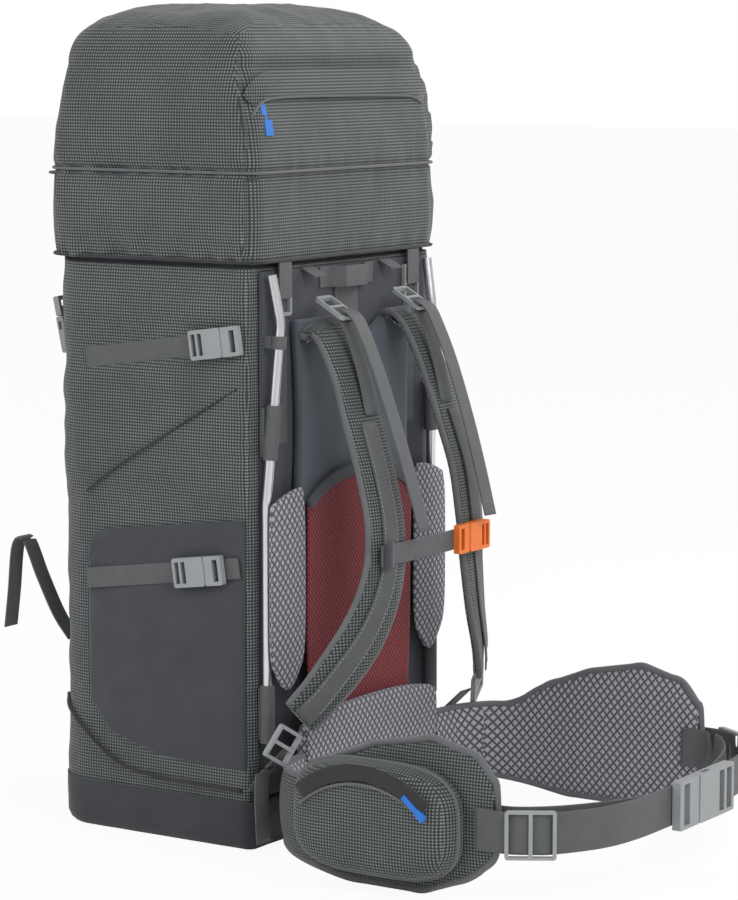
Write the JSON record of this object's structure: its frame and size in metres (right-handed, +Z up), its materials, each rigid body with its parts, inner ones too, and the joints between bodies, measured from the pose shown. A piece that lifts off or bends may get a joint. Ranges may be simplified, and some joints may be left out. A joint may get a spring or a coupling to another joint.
{
  "type": "hiking backpack",
  "caption": "Trekking backpack with lid, tubular frame, mesh back, padded shoulder straps and winged hip belt.",
  "frame": {"origin": "centre of the flat base, on the floor", "axes": "+Z up; the harness and hip belt face -Y, so the wearer's right is -X"},
  "size_m": [0.4852, 0.7137, 0.8],
  "materials": {
    "bag_fabric": "woven ripstop",
    "dark_fabric": "stretch weave",
    "webbing": "woven",
    "plastic": "matte",
    "orange_plastic": "matte",
    "tube": "satin",
    "red_mesh": "mesh",
    "grey_mesh": "honeycomb mesh",
    "cord": "braided"
  },
  "bodies": {
    "pack": {"back_mesh": "red_mesh", "bag_shell": "bag_fabric", "base_panel": "dark_fabric", "belt_pocket_left": "bag_fabric", "belt_pocket_right": "bag_fabric", "belt_prongs": "plastic", "belt_slider_left": "plastic", "belt_slider_right": "plastic", "belt_webbing_left": "webbing", "belt_webbing_right": "webbing", "belt_wing_left": "grey_mesh", "belt_wing_right": "grey_mesh", "collar_drawcord": "cord", "daisy_chain_left": "webbing", "daisy_chain_right": "webbing", "frame_sleeves": "webbing", "frame_tube_left": "tube", "frame_tube_right": "tube", "front_tail": "webbing", "haul_loop": "webbing", "height_strap": "webbing", "lid_rear_ladderlocks": "plastic", "lid_rear_straps": "webbing", "lifter_anchors": "webbing", "lower_ladderlock_left": "plastic", "lower_ladderlock_right": "plastic", "lower_strap_left": "webbing", "lower_strap_right": "webbing", "lumbar_pad": "grey_mesh", "mesh_hem": "dark_fabric", "side_pad_left": "grey_mesh", "side_pad_right": "grey_mesh", "side_pocket_left": "dark_fabric", "side_pocket_right": "dark_fabric", "side_prongs": "plastic", "side_straps": "webbing", "snow_collar": "bag_fabric"},
    "lid": {"lid_shell": "bag_fabric", "lid_liner": "bag_fabric", "lid_zip_flap": "bag_fabric", "lid_front_straps": "webbing", "lid_front_prongs": "plastic"},
    "lid_zip": {"lid_zip_slider": "plastic"},
    "harness": {"yoke": "dark_fabric", "shoulder_pad_right": "bag_fabric", "shoulder_pad_left": "bag_fabric", "shoulder_webbing_right": "webbing", "shoulder_webbing_left": "webbing", "load_lifter_right": "webbing", "load_lifter_left": "webbing", "lifter_ladderlock_right": "plastic", "lifter_ladderlock_left": "plastic"},
    "sternum": {"sternum_webbing": "webbing", "sternum_prongs": "orange_plastic", "sternum_stub": "webbing"},
    "sternum_half": {"sternum_socket": "orange_plastic"},
    "belt_half": {"belt_socket": "plastic"},
    "side_socket_upper_right": {"side_socket_upper_right": "plastic"},
    "side_socket_upper_left": {"side_socket_upper_left": "plastic"},
    "side_socket_lower_right": {"side_socket_lower_right": "plastic"},
    "side_socket_lower_left": {"side_socket_lower_left": "plastic"},
    "front_socket_right": {"front_socket_right": "plastic"},
    "front_socket_left": {"front_socket_left": "plastic"},
    "pocket_zip_slider_right": {"pocket_zip_slider_right": "plastic"},
    "pocket_zip_slider_left": {"pocket_zip_slider_left": "plastic"}
  },
  "joints": [
    {"name": "lid_open", "type": "hinge", "parent": "pack", "child": "lid", "pos_m": [0, -0.138, 0.545], "axis": [1, 0, 0], "range_deg": [0, 80]},
    {"name": "lid_zip", "type": "slide", "parent": "lid", "child": "lid_zip", "axis": [1, 0, 0], "range_m": [0, 0.25]},
    {"name": "harness_height", "type": "slide", "parent": "pack", "child": "harness", "axis": [0, 0, 1], "range_m": [0, 0.03]},
    {"name": "sternum_height", "type": "slide", "parent": "harness", "child": "sternum", "axis": [0, 0, 1], "range_m": [-0.02, 0.02]},
    {"name": "sternum_release", "type": "slide", "parent": "sternum", "child": "sternum_half", "axis": [1, 0, 0], "range_m": [0, 0.025]},
    {"name": "belt_release", "type": "slide", "parent": "pack", "child": "belt_half", "axis": [1, 0, 0], "range_m": [0, 0.025]},
    {"name": "side_upper_right", "type": "slide", "parent": "pack", "child": "side_socket_upper_right", "axis": [0, 0.9903, -0.1392], "range_m": [0, 0.025]},
    {"name": "side_lower_right", "type": "slide", "parent": "pack", "child": "side_socket_lower_right", "axis": [0, 0.9903, -0.1392], "range_m": [0, 0.025]},
    {"name": "front_release_right", "type": "slide", "parent": "pack", "child": "front_socket_right", "axis": [0, -0.2166, -0.9763], "range_m": [0, 0.025]},
    {"name": "pocket_zip_right", "type": "hinge", "parent": "pack", "child": "pocket_zip_slider_right", "pos_m": [0, -0.299, 0.006], "axis": [1, 0, 0], "range_deg": [-80, 0]},
    {"name": "side_upper_left", "type": "slide", "parent": "pack", "child": "side_socket_upper_left", "axis": [0, 0.9903, -0.1392], "range_m": [0, 0.025]},
    {"name": "side_lower_left", "type": "slide", "parent": "pack", "child": "side_socket_lower_left", "axis": [0, 0.9903, -0.1392], "range_m": [0, 0.025]},
    {"name": "front_release_left", "type": "slide", "parent": "pack", "child": "front_socket_left", "axis": [0, -0.2166, -0.9763], "range_m": [0, 0.025]},
    {"name": "pocket_zip_left", "type": "hinge", "parent": "pack", "child": "pocket_zip_slider_left", "pos_m": [0, -0.299, 0.006], "axis": [1, 0, 0], "range_deg": [-80, 0]}
  ]
}
